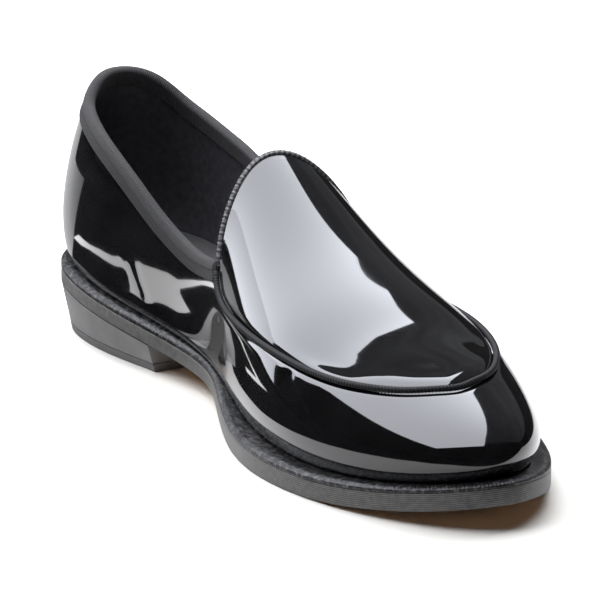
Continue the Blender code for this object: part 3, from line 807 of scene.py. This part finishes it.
def piece(name, points, faces, materials, node, maps=None, slots=None):
    """Object from millimetre points that stands for a node of the part."""
    mesh = bpy.data.meshes.new(name)
    mesh.from_pydata(place(points).tolist(), [], faces)
    for made in materials:
        mesh.materials.append(made)
    mesh.polygons.foreach_set("use_smooth", [True] * len(mesh.polygons))
    if maps is not None:
        layer = mesh.uv_layers.new(name="map")
        layer.data.foreach_set("uv", np.asarray(maps, np.float32).ravel())
    if slots is not None:
        mesh.polygons.foreach_set("material_index", slots)
    shell = bmesh.new()
    shell.from_mesh(mesh)
    bmesh.ops.recalc_face_normals(shell, faces=shell.faces)
    shell.to_mesh(mesh)
    shell.free()
    obj = bpy.data.objects.new(name, mesh)
    bpy.context.scene.collection.objects.link(obj)
    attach(obj, "root")
    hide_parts(node)
    return obj


def rungs(count, first):
    """Faces that fill a closed loop of count points, from its first point to the opposite one."""
    faces = []
    for k in range(count // 2):
        a, b = k, k + 1
        c, d = (count - k - 1) % count, (count - k) % count
        ring = [a, d, c, b] if d != a else [a, c, b]
        if c == b:
            ring = [a, d, b]
        faces.append(tuple(first + i for i in ring))
    return faces


def around(loop):
    """Arc length at each column of a closed loop, with the closing step."""
    return lengths(np.vstack([loop, loop[:1]]))


def no_map(faces):
    """Empty map entries for faces that need none."""
    return np.zeros((sum(len(f) for f in faces), 2))


def edges_softened(obj, width):
    """Small round on every sharp edge."""
    bevel = obj.modifiers.new("soft edges", "BEVEL")
    bevel.width = width * MM
    bevel.segments = BEVEL_SEGMENTS
    bevel.limit_method = "ANGLE"
    bevel.angle_limit = math.radians(SHARP_ANGLE)
    bevel.harden_normals = True


# Upper: skirt and apron on the skin of the last, thickened inwards
def step_like(base, top):
    """Base points at the same share of arc length as the top points."""
    share = lengths(top) / lengths(top)[-1]
    return spaced(base, share * lengths(base)[-1])


def inward_run(points, run):
    """Directions on the skin, square to a line of points, towards their middle."""
    aside = unit(np.cross(run, last.normal(points)))
    return -aside if np.sum(aside * (points.mean(axis=0) - points)) < 0 else aside


def skirt_grid():
    """Rows of the wrap-round part from the seam and the rim down to the feather line."""
    top = np.vstack([seam, rim[1:-1]])
    base = np.vstack([step_like(front_base, seam), step_like(back_base, rim)[1:-1]])
    height = np.linalg.norm(top - base, axis=1)
    shares = [d / height for d in SEAM_DISTANCES]
    for k in range(1, SKIRT_ROWS):
        shares.append(shares[len(SEAM_DISTANCES) - 1] * (1 - k / SKIRT_ROWS) + k / SKIRT_ROWS)
    rows = [top] + [last.onto(top + (base - top) * share[:, None]) for share in shares[1:]]
    return rows + [base]


def form(points, row):
    """Soft trough or ridge along a line of the skin."""
    start_s, start_angle, end_s, end_angle, rise, reach = row
    share = np.linspace(0, 1, CREASE_STEPS)
    line = last.section(start_s + (end_s - start_s) * share, start_angle + (end_angle - start_angle) * share)
    near = np.min(np.linalg.norm(points[:, None] - line[None], axis=2), axis=1)
    return rise * np.exp(-(near / reach) ** 2)


def relief(points, plug):
    """Height that the fine forms add to each skin point; plug marks the points of the plug."""
    tree = kdtree.KDTree(len(seam_dense))
    for k, p in enumerate(seam_dense):
        tree.insert(p, k)
    tree.balance()
    away = np.array([tree.find(p)[2] for p in points])
    height = -SEAM_GROOVE * np.exp(-(away / GROOVE_REACH) ** 2)
    for row in CREASES:
        height += form(points, row)
    rise, distance, reach, first, run = PLUG_ROLL
    ahead = np.clip((points[:, 0] - first) / run, 0, 1)
    roll = rise * ahead * ahead * (3 - 2 * ahead) * np.exp(-((away - distance) / reach) ** 2)
    hollow = form(points, PLUG_HOLLOW)
    return height + plug * (roll + hollow) * (1 - np.exp(-(away / PLUG_FADE) ** 2))


def build_upper(patent_made, lining_made):
    """Skirt, border of the plug and plug as one sheet of skin, thickened inwards."""
    rows = skirt_grid()
    cols = len(rows[0])
    points = list(np.vstack(rows))
    skirt = len(points)
    faces = []
    for r in range(len(rows) - 1):
        for c in range(cols):
            d = (c + 1) % cols
            faces.append((r * cols + c, r * cols + d, (r + 1) * cols + d, (r + 1) * cols + c))
    loop = np.vstack([seam, free[1:-1]])
    index = list(range(SEAM_COLS)) + list(range(len(points), len(points) + EDGE_COLS - 2))
    points += list(free[1:-1])
    size = len(index)
    inward = inward_run(loop, np.roll(loop, -1, axis=0) - np.roll(loop, 1, axis=0))
    for distance in SEAM_DISTANCES[1:]:
        border = last.onto(loop + inward * distance)
        following = list(range(len(points), len(points) + size))
        points += list(border)
        for k in range(size):
            m = (k + 1) % size
            faces.append((index[k], index[m], following[m], following[k]))
        index = following
    rise = border[:, 2] - last.level(border[:, 0])
    angle = np.degrees(np.arctan2(rise, border[:, 1] - last.middle(border[:, 0])))
    places = np.column_stack([border[:, 0], angle])
    front = SEAM_COLS // 2
    across = np.arange(1, APRON_STEPS)[:, None] / APRON_STEPS
    ladder = []
    for k in range(1, size // 2):
        inner, outer = (front - k) % size, (front + k) % size
        between = places[inner] + (places[outer] - places[inner]) * across
        line = [index[inner]] + list(range(len(points), len(points) + APRON_STEPS - 1)) + [index[outer]]
        points += list(last.section(between[:, 0], between[:, 1]))
        ladder.append(line)
    for ahead, behind in zip(ladder[:-1], ladder[1:]):
        for k in range(APRON_STEPS):
            faces.append((ahead[k], ahead[k + 1], behind[k + 1], behind[k]))
    rear = index[(front + size // 2) % size]
    for k in range(APRON_STEPS):
        faces.append((index[front], ladder[0][k + 1], ladder[0][k]))
        faces.append((rear, ladder[-1][k], ladder[-1][k + 1]))
    points = np.array(points)
    plug = np.arange(len(points)) >= skirt
    points += last.normal(points) * relief(points, plug)[:, None]
    made = piece("upper_shell", points, faces, [patent_made, lining_made], "upper")
    thick = made.modifiers.new("leather thickness", "SOLIDIFY")
    thick.thickness = WALL * MM
    thick.offset = -1.0
    thick.material_offset = 1
    thick.material_offset_rim = 1
    return made


# Trim of the upper
def strip(name, profile, us, vs, made, node):
    """Tape or cord: rows of points along a line, capped at both ends."""
    grid = np.stack(profile, axis=0)
    points, faces, maps = sheet(grid, us, vs, False)
    rows, cols = grid.shape[:2]
    loops = [(np.arange(rows - 1) * cols).tolist(), (np.arange(rows - 1) * cols + cols - 1).tolist()]
    caps = [tuple(loop) for loop in loops]
    return piece(name, points, faces + caps, [made], node, np.vstack([maps, no_map(caps)]))


def build_collar_tape(made):
    """Ribbed tape folded over the rim, with a rolled top edge and a step below it."""
    places = np.linspace(END_STEP, lengths(rim_dense)[-1] - END_STEP, TAPE_COLS)
    line = last.onto(spaced(rim_dense, places))
    base = spaced(back_base, places / lengths(rim_dense)[-1] * lengths(back_base)[-1])
    fall = base - line
    hang = unit(last.onto(line + fall * (TAPE_LEG / 2 / np.linalg.norm(fall, axis=1))[:, None]) - line)
    from_end = np.minimum(places, places[-1] + END_STEP - places)
    lean = np.exp(-from_end / TAPE_LEAN)[:, None]
    seam_runs = unit(np.array([seam[-2] - seam[-1], seam[1] - seam[0]]))
    outer_half = places < places[-1] / 2
    seam_side = np.where(outer_half[:, None], seam_runs[0], seam_runs[1])
    hang = unit(hang + (seam_side - hang) * lean)
    outside = CLEARANCE + TAPE_THICK
    inside = -WALL - LINING_GAP - TAPE_THICK
    skins = [last.onto(line + hang * drop) if drop else line for drop in TAPE_DROPS]
    normals = [last.normal(skin) for skin in skins]
    profile = [skins[-1]]
    across = [0.0]
    for drop, skin, normal in zip(reversed(TAPE_DROPS), reversed(skins), reversed(normals)):
        height = outside
        if drop < BEAD_DROP:
            height += BEAD_SWELL * math.sqrt(max(0.0, 1 - (2 * drop / BEAD_DROP - 1) ** 2))
        elif drop < BEAD_DROP + STEP_DEPTH:
            height -= STEP_DEPTH
        elif drop > TAPE_LEG - STEP_DEPTH:
            height -= STEP_DEPTH
        profile.append(skin + normal * height)
        across.append(TAPE_LEG - drop)
    middle = (outside + inside) / 2
    crest = LINING_GAP + TAPE_THICK + BEAD_SWELL
    for k in range(1, FOLD_STEPS):
        turn = math.pi * k / FOLD_STEPS
        over = middle + (outside - middle) * math.cos(turn)
        profile.append(line + normals[0] * over - hang * crest * math.sin(turn))
        across.append(TAPE_LEG + FOLD_ROUND_MAP * k / FOLD_STEPS)
    for drop, skin, normal in zip(TAPE_DROPS, skins, normals):
        profile.append(skin + normal * inside)
        across.append(TAPE_LEG + FOLD_ROUND_MAP + drop)
    profile.append(skins[-1] - normals[-1] * WALL)
    across.append(2 * TAPE_LEG + FOLD_ROUND_MAP + TAPE_THICK)
    profile.append(skins[-1])
    across.append(2 * TAPE_LEG + FOLD_ROUND_MAP + 2 * TAPE_THICK)
    vs = np.array(across) / TAPE_LEG
    return strip("collar_tape", profile, places / RIB_PITCH, vs, made, "collar_binding")


def build_tongue_edge(made):
    """Overcast edge of the tongue: stitches that wrap over it side by side."""
    places = np.linspace(END_STEP, lengths(free_dense)[-1] - END_STEP, WHIP_COLS)
    line = last.onto(spaced(free_dense, places))
    inward = inward_run(line, np.gradient(line, axis=0))
    normal = last.normal(line)
    span = 2 * EDGE_LEG + WALL
    profile = []
    across = []
    for k in range(WHIP_ROWS + 1):
        share = k / WHIP_ROWS
        along = share * span
        phase = places / WHIP_PITCH + WHIP_SLANT * share
        wave = np.abs(np.sin(math.pi * phase)) - 1
        swell = EDGE_THICK + WHIP_SWELL * wave * math.sin(math.pi * share) ** WHIP_ENDS
        swell = np.where(k in (0, WHIP_ROWS), 0.0, swell)[:, None]
        if along < EDGE_LEG:
            skin = last.onto(line + inward * (EDGE_LEG - along))
            profile.append(skin + last.normal(skin) * (swell + CLEARANCE * min(1, k)))
        elif along > EDGE_LEG + WALL:
            skin = last.onto(line + inward * (along - EDGE_LEG - WALL))
            profile.append(skin - last.normal(skin) * (WALL + LINING_GAP * min(1, WHIP_ROWS - k) + swell))
        else:
            turn = math.pi * (along - EDGE_LEG) / WALL
            reach = WALL / 2 + CLEARANCE + swell
            profile.append(line - normal * WALL / 2 + normal * math.cos(turn) * reach
                           - inward * math.sin(turn) * (CLEARANCE + swell))
        across.append(share)
    profile.append(profile[0])
    across.append(1.0)
    return strip("tongue_edge", profile, places / THREAD_PITCH, np.array(across), made, "tongue_binding")


def build_piping(made):
    """Round cord in the groove of the apron seam, thinned out at both ends."""
    places = np.linspace(END_STEP, lengths(seam_dense)[-1] - END_STEP, CORD_COLS)
    line = last.onto(spaced(seam_dense, places))
    normal = last.normal(line)
    aside = unit(np.cross(np.gradient(line, axis=0), normal))
    centre = line + normal * CORD_LIFT
    from_end = np.minimum(places, places[-1] + END_STEP - places) - END_STEP
    short = 1 - np.clip(from_end / CORD_RADIUS, 0, 1)
    radius = CORD_RADIUS * np.sqrt(np.clip(1 - short ** 2, TINY, 1))[:, None]
    turns = np.linspace(0, 2 * math.pi, CORD_SIDES + 1)
    profile = []
    for t in turns:
        wave = np.sin(2 * math.pi * places / CORD_PITCH + CORD_SLANT * t)[:, None]
        profile.append(centre + radius * (1 + CORD_RIB * wave) * (normal * math.sin(t) + aside * math.cos(t)))
    profile[-1] = profile[0]
    return strip("piping", profile, places / CORD_PITCH, turns / (2 * math.pi), made, "apron_piping")


# Sole
def build_welt(made):
    """Welt with a bevelled top and wheel marks across it."""
    dense = outline_curve(np.linspace(0, 1, DENSE))
    loop = spaced(dense, np.linspace(0, lengths(dense)[-1], WELT_COLS, endpoint=False))
    foot = feather(loop, 0.0)[:, :2]
    us = around(loop)
    marks = round(us[-1] / WHEEL_PITCH)
    turn = marks * us[:-1] / us[-1]
    depths = np.random.default_rng(WHEEL_SEED).uniform(*WHEEL_SPREAD, marks)
    depth = depths[np.round(turn).astype(int) % marks]
    notch = np.clip(np.cos(2 * math.pi * turn), 0, 1) ** 2 * WHEEL_DEPTH * depth
    ledge = np.linalg.norm(loop - foot, axis=1)
    shoulder = loop + (foot - loop) * np.minimum(WELT_BEVEL / ledge, BEVEL_SHARE)[:, None]
    low = edge_top(loop[:, 0])
    wall = low + CLEARANCE + WELT_WALL
    profile = [np.column_stack([inset(foot, WALL), edge_top(foot[:, 0])]), np.column_stack([loop, low])]
    profile.append(np.column_stack([loop, wall - notch / 2]))
    for share in WELT_STEPS:
        plan = loop + (shoulder - loop) * share
        height = wall + (seat(shoulder[:, 0]) - wall) * math.sin(share * math.pi / 2) ** WELT_CROWN
        kept = min(1.0, MARK_FADE * (1 - share) + MARK_LEAST)
        profile.append(np.column_stack([plan, height - notch * kept]))
    profile.append(np.column_stack([foot, seat(foot[:, 0])]))
    profile.append(np.column_stack([inset(foot, WALL), seat(foot[:, 0])]))
    points, faces, maps = sheet(np.stack(profile), us, np.arange(len(profile), dtype=float), True)
    return piece("welt_strip", points, faces, [made], "welt", maps)


def build_outsole(edge_made, leather_made):
    """Sole slab: rounded waxed edge, tan underside with a cut channel."""
    s = outline[:, 0]
    low, high = underside(s), edge_top(s)
    us = around(outline)
    profile = []
    for turn in np.linspace(-math.pi / 2, 0, ROUND_STEPS):
        plan = inset(outline, SOLE_ROUND * (1 - math.cos(turn)))
        profile.append(np.column_stack([plan, low + SOLE_ROUND * (1 + math.sin(turn))]))
    for turn in np.linspace(0, math.pi / 2, ROUND_STEPS):
        plan = inset(outline, SOLE_ROUND * (1 - math.cos(turn)))
        profile.append(np.column_stack([plan, high - SOLE_ROUND * (1 - math.sin(turn))]))
    heights = np.array([(row[:, 2] - low).mean() for row in profile]) / LINE_PITCH
    points, faces, maps = sheet(np.stack(profile), us, heights, True)
    slots = [0] * len(faces)
    count = len(outline)
    points = list(points)
    before = list(range(count))
    under = []
    for distance, depth in CHANNEL:
        plan = inset(outline, distance)
        ring = list(range(len(points), len(points) + count))
        points += list(np.column_stack([plan, underside(plan[:, 0]) + depth]))
        under += [(before[k], before[(k + 1) % count], ring[(k + 1) % count], ring[k]) for k in range(count)]
        before = ring
    under += rungs(count, before[0])
    top = rungs(count, (len(profile) - 1) * count)
    slots += [1] * len(under) + [0] * len(top)
    maps = np.vstack([maps, no_map(under), no_map(top)])
    faces += under + top
    return piece("sole_slab", np.array(points), faces, [edge_made, leather_made], "outsole", maps, slots)


def build_insole(made):
    """Insole board with a rounded top edge."""
    foot = feather(outline, 0.0)[:, :2]
    profile = []
    for distance, drop in INSOLE_EDGE:
        plan = inset(foot, WALL + 2 * CLEARANCE + distance)
        profile.append(np.column_stack([plan, seat(plan[:, 0]) + INSOLE_RISE - drop]))
    count, rows = len(outline), len(profile)
    points, faces, maps = sheet(np.stack(profile), around(outline), np.arange(rows, dtype=float), True)
    caps = rungs(count, 0) + rungs(count, (rows - 1) * count)
    return piece("insole_board", points, faces + caps, [made], "insole", np.vstack([maps, no_map(caps)]))


def heel_loops():
    """Plan loops of the heel at the sole and at the floor."""
    dense = np.linspace(0, 1, DENSE)
    past = dense[outline_curve(dense)[:, 0] > BREAST]
    steps = np.linspace(0, 1, HEEL_STEPS + 1)
    top = outline_curve(np.concatenate([past[0] * steps, 1 - (1 - past[-1]) * steps[:0:-1]]))
    middle = np.array([HEEL_CENTRE, 0.0])
    floor_print = middle + (top - middle) * np.array([HEEL_SQUEEZE_S, HEEL_SQUEEZE_A])
    floor_print[top[:, 0] > BREAST - BREAST_EDGE, 0] = BREAST - BREAST_RAKE
    return top, floor_print


def build_heel_layer(name, low_z, high_z, rows, made, node):
    """Block between two heights of the heel, drawn in towards the floor."""
    top, floor_print = heel_loops()
    full = underside(top[:, 0]) - CLEARANCE
    profile = []
    for share in np.linspace(0, 1, rows):
        z = low_z + (np.minimum(high_z, full) - low_z) * share
        profile.append(np.column_stack([floor_print + (top - floor_print) * (z / full)[:, None], z]))
    count = len(top)
    vs = np.array([row[:, 2].mean() for row in profile]) / LAYER_PITCH
    points, faces, maps = sheet(np.stack(profile), around(top), vs, True)
    caps = rungs(count, 0) + rungs(count, (rows - 1) * count)
    obj = piece(name, points, faces + caps, [made], node, np.vstack([maps, no_map(caps)]))
    obj.data.set_sharp_from_angle(angle=math.radians(SHARP_ANGLE))
    edges_softened(obj, HEEL_ROUND)
    return obj


build_upper(patent(), lining())
build_collar_tape(grosgrain())
build_tongue_edge(thread())
build_piping(piping())
build_insole(sock())
build_welt(welt_leather())
build_outsole(sole_edge(), sole_leather())
build_heel_layer("heel_block", TOP_PIECE + CLEARANCE, FAR, HEEL_ROWS, heel_polish(), "heel")
build_heel_layer("heel_lift", 0.0, TOP_PIECE, LIFT_ROWS, rubber(), "heel_top_piece")


# Floor, light and camera
def stage_sheet(name, points, made):
    """Flat polygon of the stage."""
    mesh = bpy.data.meshes.new(name)
    mesh.from_pydata(points, [], [tuple(range(len(points)))])
    mesh.materials.append(made)
    obj = bpy.data.objects.new(name, mesh)
    bpy.context.scene.collection.objects.link(obj)
    return obj


def flat_sheet(name, corners, height, made):
    """Level polygon from (x, y) corners."""
    return stage_sheet(name, [(x, y, height) for x, y in corners], made)


def upright_sheet(name, corners, behind, made):
    """Polygon that stands square to Y, from (x, z) corners."""
    return stage_sheet(name, [(x, behind, z) for x, z in corners], made)


def floor_paint(name, dark, pale, specular=FLOOR_SPECULAR):
    """Matt paint with broad clouds."""
    n = Nodes(name)
    n.colour(n.noise(3, 2), 0.3, 0.7, dark, pale)
    n.set(Roughness=FLOOR_ROUGH, Specular_IOR_Level=specular)
    return n.made


def pale_paint(name, pale):
    """Floor paint whose clouds hardly show."""
    return floor_paint(name, tuple(FLOOR_CLOUD * c for c in pale), pale)


def far_paint():
    """Floor paint that grows dark towards the inner side."""
    n = Nodes("floor paint behind")
    x, y = n.axes("Object")
    aside = n.math("SUBTRACT", x, GLOSS_CENTRE[0])
    behind = n.math("SUBTRACT", y, GLOSS_CENTRE[1])
    turn = n.math("MULTIPLY", n.math("ARCTAN2", aside, behind), math.degrees(1.0))
    low, high = GLOSS_TURN
    share = n.math("DIVIDE", n.math("SUBTRACT", turn, low), high - low)
    n.colour(share, 0.0, 1.0, GLOSS_BLACK, GLOSS_DIM)
    n.set(Roughness=FLOOR_ROUGH, Specular_IOR_Level=FLOOR_SPECULAR)
    return n.made


def gloss_only(obj):
    """Sheet that shows only in the gloss of the shoe."""
    obj.visible_camera = False
    obj.visible_diffuse = False
    obj.visible_shadow = False


def floor():
    """Pale floor; the gloss of the shoe shows only parts of it, as it would between dark flags."""
    half = FLOOR_HALF
    square = [(-half, -half), (half, -half), (half, half), (-half, half)]
    wide = flat_sheet("floor", square, 0.0, pale_paint("floor paint", FLOOR_PALE))
    wide.visible_glossy = False
    shade = floor_paint("floor paint in shade", *SHADE_TONES, 0.0)
    gloss_only(flat_sheet("floor_shade", square, GLOSS_LIFT / 2, shade))
    parts = [("near", GLOSS_NEAR, GLOSS_PALE), ("strip", GLOSS_STRIP, GLOSS_BRIGHT),
             ("beside", GLOSS_BESIDE, GLOSS_DIM)]
    for part, corners, pale in parts:
        paint = pale_paint("floor paint " + part, pale)
        gloss_only(flat_sheet("floor_" + part, corners, GLOSS_LIFT, paint))
    gloss_only(flat_sheet("floor_behind", GLOSS_FAR, GLOSS_LIFT, far_paint()))


def glow(name, colour=PANEL_COLOUR):
    """Material that only gives light; its shader takes the strength."""
    n = Nodes(name)
    n.tree.nodes.remove(n.shader)
    n.shader = n.add("ShaderNodeEmission")
    n.link(n.shader.outputs["Emission"], n.tree.nodes["Material Output"].inputs["Surface"])
    n.set(Color=(*colour, 1.0))
    return n


def lights():
    """Panel, dim ceiling and upright sheet for the gloss; a key light for the floor and the matt pieces."""
    n = glow("light panel")
    n.set(Strength=PANEL_STRENGTH)
    gloss_only(flat_sheet("light_panel", PANEL_CORNERS, PANEL_HEIGHT, n.made))
    n = glow("key light", KEY_COLOUR)
    n.set(Strength=KEY_STRENGTH)
    key = flat_sheet("key_light", KEY_CORNERS, PANEL_HEIGHT, n.made)
    key.visible_camera = False
    key.visible_glossy = False
    n = glow("dim ceiling")
    n.link(n.spread(n.noise(2.2, 2), *CEILING_LIGHT), n.shader.inputs["Strength"])
    gloss_only(flat_sheet("ceiling", CEILING_CORNERS, CEILING_HEIGHT, n.made))
    n = glow("pale sheet")
    n.set(Strength=SIDE_STRENGTH)
    gloss_only(upright_sheet("sheet_behind", SIDE_CORNERS, SIDE_PLACE, n.made))


def world():
    """Dim room for the reflections, pale where the camera looks past the floor."""
    made = bpy.data.worlds.new("studio")
    made.use_nodes = True
    nodes, links = made.node_tree.nodes, made.node_tree.links
    room = nodes["Background"]
    room.inputs["Color"].default_value = (*ROOM_COLOUR, 1.0)
    pale = nodes.new("ShaderNodeBackground")
    pale.inputs["Color"].default_value = (*BACKDROP_COLOUR, 1.0)
    path = nodes.new("ShaderNodeLightPath")
    mix = nodes.new("ShaderNodeMixShader")
    links.new(path.outputs["Is Camera Ray"], mix.inputs["Fac"])
    links.new(room.outputs["Background"], mix.inputs[1])
    links.new(pale.outputs["Background"], mix.inputs[2])
    links.new(mix.outputs["Shader"], nodes["World Output"].inputs["Surface"])
    bpy.context.scene.world = made


def camera():
    """Camera at the angle of the photograph, looking at the middle of the shoe."""
    data = bpy.data.cameras.new("camera")
    data.lens = LENS
    data.sensor_width = SENSOR
    obj = bpy.data.objects.new("camera", data)
    turn, lift = math.radians(VIEW_AZIMUTH), math.radians(VIEW_ELEVATION)
    back = Vector((math.sin(turn) * math.cos(lift), -math.cos(turn) * math.cos(lift), math.sin(lift)))
    obj.location = Vector(AIM) + back * VIEW_DISTANCE
    obj.rotation_euler = (-back).to_track_quat("-Z", "Y").to_euler()
    data.clip_end = CLIP_END
    bpy.context.scene.collection.objects.link(obj)
    bpy.context.scene.camera = obj


floor()
lights()
world()
camera()
bpy.context.scene.view_settings.view_transform = "Standard"
